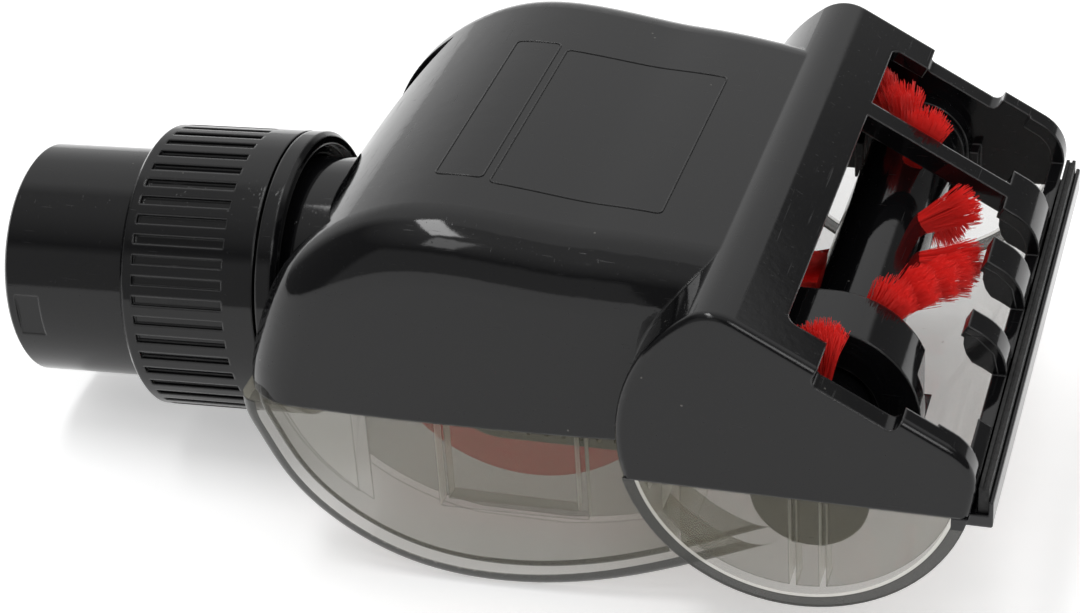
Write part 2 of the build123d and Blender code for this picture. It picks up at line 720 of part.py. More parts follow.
def belt_notches():
    """The gaps between the belt's inner teeth, along both straight runs and round both pulleys."""
    dx = ROLLER_X - TURBINE_X
    dz = ROLLER_Z - TURBINE_Z
    span = math.hypot(dx, dz)
    lean = math.acos((belt_turbine_r - belt_roller_r) / span)
    way = math.atan2(dz, dx)
    places = []
    count = int(math.sqrt(span**2 - (belt_roller_r - belt_turbine_r) ** 2) / TOOTH_PITCH)
    for angle in (way + lean, way - lean):
        start_x = TURBINE_X + belt_turbine_r * math.cos(angle)
        start_z = TURBINE_Z + belt_turbine_r * math.sin(angle)
        end_x = ROLLER_X + belt_roller_r * math.cos(angle)
        end_z = ROLLER_Z + belt_roller_r * math.sin(angle)
        for i in range(count):
            share = (i + 0.5) / count
            places.append((start_x + share * (end_x - start_x), start_z + share * (end_z - start_z), angle))
    wraps = (
        (TURBINE_X, TURBINE_Z, belt_turbine_r, way + lean, way - lean + 2 * math.pi),
        (ROLLER_X, ROLLER_Z, belt_roller_r, way - lean, way + lean),
    )
    for x, z, r, start, end in wraps:
        count = int(r * (end - start) / TOOTH_PITCH)
        for i in range(count):
            angle = start + (end - start) * (i + 0.5) / count
            places.append((x + r * math.cos(angle), z + r * math.sin(angle), angle))
    turned = Rot(0, 0, 180) * belt_tooth()
    return [Pos(x, z) * Rot(0, 0, math.degrees(angle)) * turned for x, z, angle in places]


def drive_belt():
    """The toothed belt round both pulleys."""
    face = belt_loop(BELT_THICKNESS) - belt_loop(0) - belt_notches()
    return across(face, belt_near, belt_far)


def spaced(low, high, count):
    """Evenly spaced places with one at each end."""
    return [low + (high - low) * i / (count - 1) for i in range(count)]


def tuft_places():
    """Places of the tufts along the roller, clear of the guard, the bar and both ends."""
    room = TUFT_TIP_R + TUFT_SIDE_GAP
    outer = mouth_half - room
    middle = spaced(guard_far + room, bar_y - BAR_WIDTH / 2 - room - TUFT_BAR_GAP, TUFTS_MIDDLE)
    far = spaced(bar_y + BAR_WIDTH / 2 + room, outer, TUFTS_FAR)
    return [(-outer + guard_near - room) / 2, *middle, *far]


def tuft_angle(y):
    """Angle of a tuft about the roller: each row is a wide V, steeper on its far side."""
    if y > ROW_LEAD_Y:
        return ROW_LEAD_ANGLE + ROW_SLOPE_FAR * (y - ROW_LEAD_Y)
    return ROW_LEAD_ANGLE + ROW_SLOPE_NEAR * (ROW_LEAD_Y - y)


def on_roller(shape, y, angle):
    """Stands a piece that is built along Z on the roller, at a place and an angle."""
    return Pos(ROLLER_X, y, ROLLER_Z) * Rot(0, 90 - angle, 0) * shape


def tuft():
    """A bundle of bristles, straight in its hole in the core and widening outwards."""
    foot = RegularPolygon(TUFT_ROOT_R, TUFT_SIDES)
    root = Pos(0, 0, CORE_R - TUFT_ROOT_DEPTH) * extrude(foot, TUFT_ROOT_DEPTH)
    tip = Pos(0, 0, TUFT_REACH) * RegularPolygon(TUFT_TIP_R, TUFT_SIDES)
    return root + loft([Pos(0, 0, CORE_R) * foot, tip])


def bristle_row(turn):
    """One row of tufts along the roller."""
    return Compound(children=[on_roller(tuft(), y, tuft_angle(y) + turn) for y in tuft_places()])


def roller_core():
    """The black roller with its tuft holes and axle holes."""
    core = disc(CORE_R, ROLLER_X, ROLLER_Z, -core_half, core_half)
    foot = RegularPolygon(TUFT_ROOT_R, TUFT_SIDES)
    hole = Pos(0, 0, CORE_R - TUFT_ROOT_DEPTH) * extrude(foot, 2 * TUFT_ROOT_DEPTH)
    core -= [on_roller(hole, y, tuft_angle(y) + turn) for y in tuft_places() for turn in (0, 180)]
    for side in (-1, 1):
        y0, y1 = ends(side, core_half - AXLE_DEPTH, core_half + 1)
        core -= disc(AXLE_R, ROLLER_X, ROLLER_Z, y0, y1)
    return core


def roller_pulley():
    """The toothed ring on the roller."""
    return toothed_disc(roller_pulley_r, ROLLER_TEETH, ROLLER_X, ROLLER_Z, CORE_R)


def turbine_pulley():
    """The toothed pulley on the turbine shaft."""
    return toothed_disc(turbine_pulley_r, TURBINE_TEETH, TURBINE_X, TURBINE_Z, SHAFT_R)


def roller_axle(side):
    """A steel stub axle pressed into the core."""
    y0, y1 = ends(side, core_half - AXLE_DEPTH, block_back)
    return disc(AXLE_R, ROLLER_X, ROLLER_Z, y0, y1)


def roller_end_cap(side):
    """The disc at the end of the roller that keeps hair out of the bush."""
    y0, y1 = ends(side, core_half, core_half + CAP_THICKNESS)
    return disc(CAP_R, ROLLER_X, ROLLER_Z, y0, y1) - disc(AXLE_R, ROLLER_X, ROLLER_Z, y0 - 1, y1 + 1)


def roller_bush(side):
    """The bush in which a stub axle turns."""
    y0, y1 = ends(side, block_face, block_back)
    bore = disc(AXLE_R + BUSH_GAP, ROLLER_X, ROLLER_Z, y0 - 1, y1 + 1)
    return disc(BUSH_R, ROLLER_X, ROLLER_Z, y0, y1) - bore


def roller_bearing_block(side):
    """The long-sided block that carries a bush and drops into the end of the housing."""
    y0, y1 = ends(side, block_face, block_back)
    return across(block_outline(BLOCK_R), y0, y1) - disc(BUSH_R, ROLLER_X, ROLLER_Z, y0 - 1, y1 + 1)


def front_strip():
    """The black strip along the front edge, with a groove down its top."""
    strip = box(STRIP_X, STRIP_X + STRIP_THICKNESS, -strip_half, strip_half, STRIP_BASE_Z, STRIP_TOP_Z)
    middle = STRIP_X + STRIP_THICKNESS / 2
    half = STRIP_GROOVE / 2
    return strip - box(middle - half, middle + half, -OPEN, OPEN, STRIP_TOP_Z - STRIP_GROOVE, OPEN)


parts = {
    "connector_tube": connector_tube(),
    "grip_collar": grip_collar(),
    "swivel_retaining_ring": swivel_retaining_ring(),
    "swivel_seal": swivel_seal(),
    "neck_tube": neck_tube(),
    "base_housing": base_housing(),
    "clear_cover": clear_cover(),
    "front_strip": front_strip(),
    "turbine_wheel": turbine_wheel(),
    "turbine_shaft": turbine_shaft(),
    "turbine_pulley": turbine_pulley(),
    "turbine_bearing_near": bearing(near_mount_start, near_mount_end),
    "turbine_bearing_far": bearing(*far_mount()),
    "bearing_mount_near": bearing_mount(near_mount_start, near_mount_end),
    "bearing_mount_far": bearing_mount(*far_mount()),
    "drive_belt": drive_belt(),
    "roller_core": roller_core(),
    "roller_pulley": roller_pulley(),
    "bristle_row_a": bristle_row(0),
    "bristle_row_b": bristle_row(180),
}
for side, place in ((-1, "near"), (1, "far")):
    parts["roller_axle_" + place] = roller_axle(side)
    parts["roller_end_cap_" + place] = roller_end_cap(side)
    parts["roller_bush_" + place] = roller_bush(side)
    parts["roller_bearing_block_" + place] = roller_bearing_block(side)

os.makedirs("parts", exist_ok=True)
for name, shape in parts.items():
    export_step(shape, f"parts/{name}.step")
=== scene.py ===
import json
import math
import random

import bmesh
import bpy
from mathutils import Matrix, Vector
from mathutils.bvhtree import BVHTree


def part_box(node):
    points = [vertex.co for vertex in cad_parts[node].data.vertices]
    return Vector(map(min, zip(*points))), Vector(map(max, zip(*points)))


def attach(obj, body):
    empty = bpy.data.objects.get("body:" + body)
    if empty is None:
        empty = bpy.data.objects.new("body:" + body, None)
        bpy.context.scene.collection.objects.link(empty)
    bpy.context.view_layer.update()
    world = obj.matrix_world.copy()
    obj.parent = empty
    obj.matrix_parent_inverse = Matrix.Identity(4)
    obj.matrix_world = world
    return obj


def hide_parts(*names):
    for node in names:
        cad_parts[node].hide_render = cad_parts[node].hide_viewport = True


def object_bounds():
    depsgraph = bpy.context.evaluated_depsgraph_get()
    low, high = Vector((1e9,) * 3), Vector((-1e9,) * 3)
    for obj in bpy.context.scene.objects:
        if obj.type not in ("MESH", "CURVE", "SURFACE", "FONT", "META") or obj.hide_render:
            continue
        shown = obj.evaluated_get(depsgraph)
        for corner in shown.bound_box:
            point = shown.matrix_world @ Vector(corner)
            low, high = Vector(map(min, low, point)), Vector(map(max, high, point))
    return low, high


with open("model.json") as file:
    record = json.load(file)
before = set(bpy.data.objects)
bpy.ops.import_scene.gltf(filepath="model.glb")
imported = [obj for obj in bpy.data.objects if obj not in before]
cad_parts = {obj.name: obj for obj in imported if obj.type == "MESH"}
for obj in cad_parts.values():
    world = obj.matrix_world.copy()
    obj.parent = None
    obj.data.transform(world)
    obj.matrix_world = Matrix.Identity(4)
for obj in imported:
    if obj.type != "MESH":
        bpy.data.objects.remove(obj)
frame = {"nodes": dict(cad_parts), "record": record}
cad_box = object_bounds()
NODES = frame["nodes"]
MM = 0.001

# Directions: straight up, and along the roller
UP = Vector((0.0, 0.0, 1.0))
AXIAL = Vector((0.0, 1.0, 0.0))

# The photograph's camera, fitted to the object: image size in pixels, angles in degrees, places in metres
IMAGE_WIDTH = 1080
FOCAL_PIXELS = 2890.0
SENSOR_MM = 36.0
CAMERA_AZIMUTH = 18.1
CAMERA_ELEVATION = 31.9
CAMERA_ROLL = -3.84
CAMERA_PLACE = Vector((0.19737, -0.35643, 0.23339))
CAMERA_CLIP_START = 0.01

# Noise patterns, in cells per metre, and the range in which most values of a noise lie
CLOUD_SCALE = 120.0
RIPPLE_SCALE = 700.0
SCRATCH_SCALE = 2600.0
STRAND_SCALE = 1500.0
RUBBER_GRAIN_SCALE = 1800.0
TURNED_RING_SCALE = 2500.0
TARNISH_SCALE = 500.0
FELT_FIBRE_SCALE = 2200.0
PAPER_SCALE = 30.0
NOISE_RANGE = (0.3, 0.7)

# Scratches and turned rings, each way a stretch and a turn of the noise
SCRATCH_WAYS = (
    ((0.05, 1.0, 1.0), (0.0, 0.5, 0.6)),
    ((1.0, 0.04, 1.0), (0.4, 0.0, -0.5)),
)
SCRATCH_RANGE = (0.70, 0.76)
SCRATCH_DEPTH = 0.02 * MM
SCRATCH_ROUGHNESS = 0.22
TURNED_RING_WAY = ((0.1, 1.0, 0.1), (0.0, 0.0, 0.0))

# Edges fade out as the dot product of the softened and the plain normal goes through this range
EDGE_RANGE = (0.80, 0.97)
EDGE_SAMPLES = 6

# Moulded plastic: a lighter edge, partly wear and partly a painted highlight, has a share of the plain colour
# plus some grey
BLACK = (0.004, 0.004, 0.0045)
DUST_COLOUR = (0.25, 0.24, 0.22)
DUST_SCALE = 150.0
DUST_SIZE = 0.02
EDGE_GREY = 0.10
EDGE_COLOUR_SHARE = 0.6
CLOUD_COLOUR_SHARE = 0.75
EDGE_RADIUS = 0.35 * MM
EDGE_WEAR_AND_HIGHLIGHT = 0.25
RIPPLE_DEPTH = 0.1 * MM

# Clear plastic: colours, with painted shade on edges and outer rims and painted highlights on inner rims and
# ribs, and the share of light that one sheet stops straight on and at a slant
CLEAR_COLOUR = (0.225, 0.208, 0.145)
CLEAR_EDGE_SHADE_COLOUR = (0.10, 0.095, 0.08)
PAINTED_HIGHLIGHT_RIM_COLOUR = (0.85, 0.83, 0.76)
PAINTED_HIGHLIGHT_RIB_COLOUR = (0.85, 0.83, 0.74)
PAINTED_SHADE_RIM_COLOUR = (0.03, 0.03, 0.026)
CHANNEL_COLOUR = (0.006, 0.006, 0.007)
CLEAR_DUST_COLOUR = (0.7, 0.68, 0.64)
CLEAR_DUST_SCALE = 160.0
CLEAR_DUST_SIZE = 0.03
CLEAR_EDGE_RADIUS = 0.5 * MM
CLEAR_OPACITY = 0.165
GRAZING_OPACITY = 0.32
GRAZING_POWER = 1.5

# Forms of the clear cover that its colours follow: the dome's round ends (centre in x and z), whose rims get
# painted shade and a painted highlight, the ribs that lie behind RIB_END_X with their broad sides across x,
# which get a painted highlight, and the channel of the front strip
DOME_CENTRE = (130.0 * MM, 10.8 * MM)
DOME_R = 24.6 * MM
DOME_END_Y = 46.5 * MM
PAINTED_SHADE_RIM_WIDTH = 1.7 * MM
PAINTED_HIGHLIGHT_RIM_WIDTH = 0.5 * MM
RIM_SOFT_WIDTH = 0.1 * MM
ROUNDED_RANGE = (0.35, 0.99)
ROUNDED_SOFT = 0.008
RIB_SIDE_LIMIT = 0.985
RIB_END_X = 140.0 * MM
STRIP_CHANNEL_X = 151.4 * MM
STRIP_CHANNEL_Z = 2.3 * MM

# Webs behind the comb teeth: side view (x, z) and the sides of each tooth (y), in millimetres
WEB_OUTLINE = (
    (148.5, 15.3), (150.5, 14.25), (152.7, 12.05), (153.4, 8.7), (152.4, 8.7),
    (151.0, 9.6), (149.6, 10.3), (148.75, 11.6), (148.35, 13.2),
)
WEB_SIDES = ((14.6, 25.9), (-0.9, 6.2), (-18.5, -13.9))

# Bristles: a tuft's foot and end are the points within TUFT_END_DEPTH of its nearest and farthest ones
RANDOM_SEED = 7
WELD_DISTANCE = 0.001 * MM
BRISTLES_PER_TUFT = 400
BRISTLE_RADIUS = 0.07 * MM
BRISTLE_TAPER = 0.6
BRISTLE_SIDES = 3
BRISTLE_STEPS = 3
BRISTLE_WAVE = 0.35 * MM
BRISTLE_BOW_POWER = 1.6
BRISTLE_LENGTH_SPREAD = 0.1
OUTER_SHORTENING = 0.10
TUFT_END_DEPTH = 0.6 * MM
TUFT_FOOT_SHARE = 0.85
TUFT_AXIAL_SPREAD = 2.3 * MM
TUFT_TURNING_SPREAD = 4.0 * MM
TUFT_CLOSE_SPACING = 8.0 * MM
AXIAL_FAN = (0.8, 1.0)
TURNING_FAN = (0.75, 1.0)

# Outlines of the two bare panels moulded on the sole side: corners (x, y) in millimetres, and the line's
# profile (across, up) as shares of its half width and height
PANEL_SMALL = (74.0, -22.6, 81.0, 19.0)
PANEL_LARGE = (82.3, -23.5, 107.0, 17.5)
PANEL_CORNER = 0.8 * MM
PANEL_CORNER_STEPS = 4
PANEL_STEP = 1.0 * MM
PANEL_LINE_WIDTH = 0.42 * MM
PANEL_LINE_HEIGHT = 0.14 * MM
PANEL_LINE_PROFILE = ((-1.0, -0.4), (-0.6, 0.7), (0.0, 1.0), (0.6, 0.7), (1.0, -0.4))
RAY_START_HEIGHT = 1.0

# The floor, and the glow of its own that lifts it to white
FLOOR_HALF = 3.0
FLOOR_DROP = 0.3 * MM
FLOOR_GLOW = 0.42
FLOOR_COLOUR = (0.93, 0.93, 0.93)
FLOOR_SPOT_COLOUR = (0.91, 0.91, 0.91)

# Lamps: name, azimuth and elevation in degrees, width and height in metres, and radiance
LAMP_DISTANCE = 2.0
LAMPS = (
    ("rear_window", -105, 73, 1.1, 0.32, 9.0),
    ("camera_softbox", -159, 54, 0.34, 0.55, 2.6),
    ("nose_softbox", 138, 38, 0.75, 0.6, 4.0),
)

# The room that the plastic mirrors: azimuths in degrees, heights as the sine of the elevation, and
# levels at which 1 is white. Azimuth 0 is the far side and grows towards the roller
BACKDROP_LEFT = (-75, -57)
BACKDROP_RIGHT = (8, 22)
BACKDROP_WIDENING = (0.42, 0.56)
BACKDROP_HEIGHTS = (0.5, 0.8)
BACKDROP_LEVELS = (0.78, 1.05)
FRONT_WALL = (-185, -135)
FRONT_WALL_SOFT = 0.1
FRONT_WALL_TOP = (0.5, 0.6)
FRONT_WALL_LEVEL = 0.35
CEILING_HEIGHTS = (0.6, 0.92)
CEILING_LEVELS = (0.16, 0.7)


def add(tree, kind, inputs=None, **settings):
    """Adds a shader node with its settings and its unlinked input values."""
    made = tree.nodes.new(kind)
    for name, value in settings.items():
        setattr(made, name, value)
    for name, value in (inputs or {}).items():
        made.inputs[name].default_value = value
    return made


def calc(tree, operation, *values, clamp=False):
    """The output of a Math node that is fed by sockets or numbers."""
    made = add(tree, "ShaderNodeMath", operation=operation, use_clamp=clamp)
    for i, value in enumerate(values):
        if isinstance(value, (int, float)):
            made.inputs[i].default_value = value
        else:
            tree.links.new(value, made.inputs[i])
    return made.outputs[0]


def fade(tree, value, low, high, low_value=0.0, high_value=1.0):
    """A socket's value ramped between two limits and clamped beyond them."""
    limits = {"From Min": low, "From Max": high, "To Min": low_value, "To Max": high_value}
    made = add(tree, "ShaderNodeMapRange", limits, clamp=True)
    tree.links.new(value, made.inputs["Value"])
    return made.outputs["Result"]


def between(tree, value, low, high, soft):
    """1 where a value lies between two limits, with soft ends."""
    rise = fade(tree, value, low - soft, low)
    fall = fade(tree, value, high, high + soft, 1.0, 0.0)
    return calc(tree, "MULTIPLY", rise, fall)


def parts_of(tree, socket):
    """The x, y and z of a vector socket."""
    made = add(tree, "ShaderNodeSeparateXYZ")
    tree.links.new(socket, made.inputs["Vector"])
    return made.outputs


def start_material(name, **sockets):
    """A material with its Principled shader and the coordinates that its patterns use."""
    made = bpy.data.materials.new(name)
    made.use_nodes = True
    tree = made.node_tree
    shader = tree.nodes["Principled BSDF"]
    for socket, value in sockets.items():
        shader.inputs[socket.replace("_", " ")].default_value = value
    place = add(tree, "ShaderNodeTexCoord")
    return made, tree, shader, place


def noise(tree, place, scale, detail=2.0, stretch=None):
    """Noise over object coordinates, drawn out along one direction if asked."""
    made = add(tree, "ShaderNodeTexNoise", {"Scale": scale, "Detail": detail})
    vector = place.outputs["Object"]
    if stretch is not None:
        turned = add(tree, "ShaderNodeMapping", {"Scale": stretch[0], "Rotation": stretch[1]})
        tree.links.new(vector, turned.inputs["Vector"])
        vector = turned.outputs["Vector"]
    tree.links.new(vector, made.inputs["Vector"])
    return made.outputs["Fac"]


def bump(tree, height, normal, strength, distance, invert=False):
    """The normal of a surface whose height follows a pattern."""
    made = add(tree, "ShaderNodeBump", {"Strength": strength, "Distance": distance}, invert=invert)
    tree.links.new(height, made.inputs["Height"])
    if normal is not None:
        tree.links.new(normal, made.inputs["Normal"])
    return made.outputs["Normal"]


def scratches(tree, place):
    """Fine scratches that run in two directions, 1 on a scratch and 0 elsewhere."""
    masks = []
    for stretch in SCRATCH_WAYS:
        lines = noise(tree, place, SCRATCH_SCALE, 1.0, stretch)
        masks.append(fade(tree, lines, *SCRATCH_RANGE))
    return calc(tree, "MAXIMUM", *masks)


def specks(tree, place, scale, size):
    """Small dust specks, 1 on a speck and 0 elsewhere."""
    cells = add(tree, "ShaderNodeTexVoronoi", {"Scale": scale, "Randomness": 1.0})
    tree.links.new(place.outputs["Object"], cells.inputs["Vector"])
    return fade(tree, cells.outputs["Distance"], size, size * 1.5, 1.0, 0.0)


def softened_edges(tree, radius):
    """A softened normal for hard edges, and a mask that is 1 on them."""
    soft = add(tree, "ShaderNodeBevel", {"Radius": radius}, samples=EDGE_SAMPLES)
    plain = add(tree, "ShaderNodeNewGeometry")
    match = add(tree, "ShaderNodeVectorMath", operation="DOT_PRODUCT")
    tree.links.new(soft.outputs["Normal"], match.inputs[0])
    tree.links.new(plain.outputs["Normal"], match.inputs[1])
    return soft.outputs["Normal"], fade(tree, match.outputs["Value"], *EDGE_RANGE, 1.0, 0.0)


def tint(tree, shader, colour, layers):
    """Paints each layer (mask, colour, strength) over the base colour, in order."""
    base = add(tree, "ShaderNodeRGB")
    base.outputs[0].default_value = (*colour, 1.0)
    last = base.outputs[0]
    for mask, over, strength in layers:
        mix = add(tree, "ShaderNodeMix", data_type="RGBA")
        tree.links.new(calc(tree, "MULTIPLY", mask, strength), mix.inputs["Factor"])
        tree.links.new(last, mix.inputs[6])
        mix.inputs[7].default_value = (*over, 1.0)
        last = mix.outputs[2]
    tree.links.new(last, shader.inputs["Base Color"])


def darker(colour, share):
    """A colour at a share of its brightness."""
    return tuple(c * share for c in colour)


def plastic(name, colour, low_rough, high_rough, edge_radius=EDGE_RADIUS, wear_and_highlight=EDGE_WEAR_AND_HIGHLIGHT, **sockets):
    """Moulded plastic: a faint ripple, fine scratches, dust specks and edges lightened partly by wear and
    partly as a painted highlight.
    """
    made, tree, shader, place = start_material(name, **sockets)
    clouds = noise(tree, place, CLOUD_SCALE, 4.0)
    lines = scratches(tree, place)
    dust = specks(tree, place, DUST_SCALE, DUST_SIZE)
    soft, edges = softened_edges(tree, edge_radius)
    # Edges are lightened: partly wear, partly a painted highlight along the rims
    polished_and_lit = tuple(EDGE_COLOUR_SHARE * c + EDGE_GREY for c in colour)
    layers = [
        (clouds, darker(colour, CLOUD_COLOUR_SHARE), 0.5),
        (edges, polished_and_lit, wear_and_highlight),
        (dust, DUST_COLOUR, 0.35),
    ]
    tint(tree, shader, colour, layers)
    rough = fade(tree, clouds, *NOISE_RANGE, low_rough, high_rough)
    scratched = calc(tree, "MULTIPLY_ADD", lines, SCRATCH_ROUGHNESS, rough)
    tree.links.new(scratched, shader.inputs["Roughness"])
    ripple = bump(tree, noise(tree, place, RIPPLE_SCALE, 3.0), soft, 0.05, RIPPLE_DEPTH)
    cut = bump(tree, lines, ripple, 0.12, SCRATCH_DEPTH, invert=True)
    tree.links.new(cut, shader.inputs["Normal"])
    return made


def rim_masks(tree, place):
    """Masks of the clear cover: outer rims with painted shade, inner rims with a painted highlight, broad
    sides of ribs with a painted highlight, and the strip's channel.
    """
    x, y, z = parts_of(tree, place.outputs["Object"])
    way = parts_of(tree, place.outputs["Normal"])
    outer = calc(tree, "GREATER_THAN", calc(tree, "MULTIPLY", way["Y"], y), 0.0)
    inner = calc(tree, "SUBTRACT", 1.0, outer)
    rounded = between(tree, calc(tree, "ABSOLUTE", way["Y"]), *ROUNDED_RANGE, ROUNDED_SOFT)
    across_x = calc(tree, "SUBTRACT", x, DOME_CENTRE[0])
    across_z = calc(tree, "SUBTRACT", z, DOME_CENTRE[1])
    square_x = calc(tree, "MULTIPLY", across_x, across_x)
    square_z = calc(tree, "MULTIPLY", across_z, across_z)
    reach = calc(tree, "SQRT", calc(tree, "ADD", square_x, square_z))
    at_end = calc(tree, "GREATER_THAN", calc(tree, "ABSOLUTE", y), DOME_END_Y)
    # The outer rounding and the dome ends' outer ring get painted shade; the inner rounding and a ring just
    # inside it get a painted highlight
    painted_shade_start = DOME_R - PAINTED_SHADE_RIM_WIDTH
    painted_shade_ring = between(tree, reach, painted_shade_start, 2 * DOME_R, RIM_SOFT_WIDTH)
    painted_highlight_ring = between(tree, reach, painted_shade_start - PAINTED_HIGHLIGHT_RIM_WIDTH, painted_shade_start, RIM_SOFT_WIDTH)
    masks = []
    for side, ring in ((outer, painted_shade_ring), (inner, painted_highlight_ring)):
        on_rounding = calc(tree, "MULTIPLY", rounded, side)
        on_end = calc(tree, "MULTIPLY", ring, at_end)
        masks.append(calc(tree, "MAXIMUM", on_rounding, on_end))
    # The broad sides of the ribs get a painted highlight
    broad = calc(tree, "GREATER_THAN", calc(tree, "ABSOLUTE", way["X"]), RIB_SIDE_LIMIT)
    painted_highlight_ribs = calc(tree, "MULTIPLY", broad, calc(tree, "LESS_THAN", x, RIB_END_X))
    in_front = calc(tree, "GREATER_THAN", x, STRIP_CHANNEL_X)
    channel = calc(tree, "MULTIPLY", in_front, calc(tree, "GREATER_THAN", z, STRIP_CHANNEL_Z))
    return *masks, painted_highlight_ribs, channel


def clear_plastic(name):
    """Smoky see-through plastic, denser where it is seen at a slant, with painted shade on edges and outer
    rims and painted highlights on inner rims and ribs.
    """
    made, tree, shader, place = start_material(name, IOR=1.5)
    lines = scratches(tree, place)
    dust = specks(tree, place, CLEAR_DUST_SCALE, CLEAR_DUST_SIZE)
    soft, edges = softened_edges(tree, CLEAR_EDGE_RADIUS)
    painted_shade_rim, painted_highlight_rim, painted_highlight_ribs, channel = rim_masks(tree, place)
    layers = [
        # Edges get painted shade; rims get painted shade and a painted highlight; ribs get a painted
        # highlight
        (edges, CLEAR_EDGE_SHADE_COLOUR, 0.9),
        (painted_highlight_rim, PAINTED_HIGHLIGHT_RIM_COLOUR, 1.0),
        (painted_highlight_ribs, PAINTED_HIGHLIGHT_RIB_COLOUR, 1.0),
        (painted_shade_rim, PAINTED_SHADE_RIM_COLOUR, 1.0),
        (channel, CHANNEL_COLOUR, 1.0),
        (dust, CLEAR_DUST_COLOUR, 0.5),
    ]
    tint(tree, shader, CLEAR_COLOUR, layers)
    tree.links.new(fade(tree, lines, 0.0, 1.0, 0.03, 0.3), shader.inputs["Roughness"])
    slant = add(tree, "ShaderNodeLayerWeight", {"Blend": 0.5})
    slanted = calc(tree, "POWER", slant.outputs["Facing"], GRAZING_POWER)
    opacity = calc(tree, "MULTIPLY_ADD", slanted, GRAZING_OPACITY, CLEAR_OPACITY)
    # The painted shade and painted highlight marks are also made denser
    for mask, extra in ((edges, 0.35), (dust, 0.2), (painted_highlight_rim, 0.3), (painted_highlight_ribs, 0.22), (painted_shade_rim, 0.7), (channel, 1.0)):
        opacity = calc(tree, "MULTIPLY_ADD", mask, extra, opacity, clamp=True)
    tree.links.new(opacity, shader.inputs["Alpha"])
    cut = bump(tree, lines, soft, 0.1, SCRATCH_DEPTH, invert=True)
    tree.links.new(cut, shader.inputs["Normal"])
    return made


def bristle(name):
    """Red nylon that varies from strand to strand."""
    made, tree, shader, place = start_material(name, Roughness=0.42)
    strands = noise(tree, place, STRAND_SCALE, 1.0)
    tint(tree, shader, (1.0, 0.055, 0.045), [(strands, (0.75, 0.015, 0.015), 0.3)])
    return made


def rubber(name, colour):
    """Matte rubber with a fine grain."""
    made, tree, shader, place = start_material(name)
    grain = noise(tree, place, RUBBER_GRAIN_SCALE, 4.0)
    soft, edges = softened_edges(tree, 0.15 * MM)
    tint(tree, shader, colour, [(grain, darker(colour, 0.5), 0.6), (edges, (0.06, 0.06, 0.06), 0.4)])
    tree.links.new(fade(tree, grain, *NOISE_RANGE, 0.5, 0.75), shader.inputs["Roughness"])
    tree.links.new(bump(tree, grain, soft, 0.3, 0.05 * MM), shader.inputs["Normal"])
    return made


def metal(name, colour, low_rough, high_rough):
    """Turned metal with fine rings and a little tarnish."""
    made, tree, shader, place = start_material(name, Metallic=1.0)
    rings = noise(tree, place, TURNED_RING_SCALE, 2.0, TURNED_RING_WAY)
    stains = noise(tree, place, TARNISH_SCALE, 3.0)
    tint(tree, shader, colour, [(stains, darker(colour, 0.6), 0.5)])
    tree.links.new(fade(tree, rings, *NOISE_RANGE, low_rough, high_rough), shader.inputs["Roughness"])
    tree.links.new(bump(tree, rings, None, 0.2, 0.02 * MM), shader.inputs["Normal"])
    return made


def felt(name):
    """Pale felt with loose fibres."""
    made, tree, shader, place = start_material(name, Roughness=0.95, Sheen_Weight=0.4)
    fibres = noise(tree, place, FELT_FIBRE_SCALE, 5.0)
    tint(tree, shader, (0.62, 0.60, 0.55), [(fibres, (0.38, 0.36, 0.33), 0.8)])
    tree.links.new(bump(tree, fibres, None, 0.7, 0.2 * MM), shader.inputs["Normal"])
    return made


materials = {
    # The black plastic's edges are lightened further, mostly as a painted highlight along its rims
    "black_plastic": plastic("black_plastic", BLACK, 0.05, 0.09, 0.5 * MM, 0.45, Specular_IOR_Level=0.36),
    "clear_plastic": clear_plastic("clear_plastic"),
    "red_plastic": plastic("red_plastic", (0.95, 0.02, 0.07), 0.3, 0.42),
    "red_bristle": bristle("red_bristle"),
    "steel": metal("steel", (0.60, 0.60, 0.61), 0.22, 0.38),
    "bronze": metal("bronze", (0.55, 0.36, 0.16), 0.35, 0.5),
    "black_rubber": rubber("black_rubber", (0.006, 0.006, 0.006)),
    "felt": felt("felt"),
}
slots = {entry["node"]: entry["material_slot"] for entry in frame["record"]["subparts"]}
for name, piece in NODES.items():
    piece.data.materials.clear()
    piece.data.materials.append(materials[slots[name]])


def place_mesh(name, mesh_maker, material):
    """A new object from a bmesh, with its material."""
    mesh = bpy.data.meshes.new(name)
    mesh_maker.to_mesh(mesh)
    mesh_maker.free()
    mesh.materials.append(material)
    piece = bpy.data.objects.new(name, mesh)
    bpy.context.scene.collection.objects.link(piece)
    return piece


def mesh_piece(name, mesh_maker, slot, body):
    """A new piece of the part, with its slot and the body that it rides on."""
    piece = place_mesh(name, mesh_maker, materials[slot])
    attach(piece, body)
    return piece


def islands(node):
    """The separate closed shapes of a CAD node, each as a list of points, in order along y."""
    welded = bmesh.new()
    welded.from_mesh(NODES[node].data)
    bmesh.ops.remove_doubles(welded, verts=welded.verts, dist=WELD_DISTANCE)
    left = dict.fromkeys(welded.verts)
    found = []
    while left:
        queue = [left.popitem()[0]]
        points = []
        while queue:
            vert = queue.pop()
            points.append(vert.co.copy())
            for edge in vert.link_edges:
                other = edge.other_vert(vert)
                if other in left:
                    del left[other]
                    queue.append(other)
        found.append(points)
    welded.free()
    return sorted(found, key=lambda points: middle(points).y)


def middle(points):
    """The mean of some points."""
    total = Vector((0.0, 0.0, 0.0))
    for point in points:
        total += point
    return total / len(points)


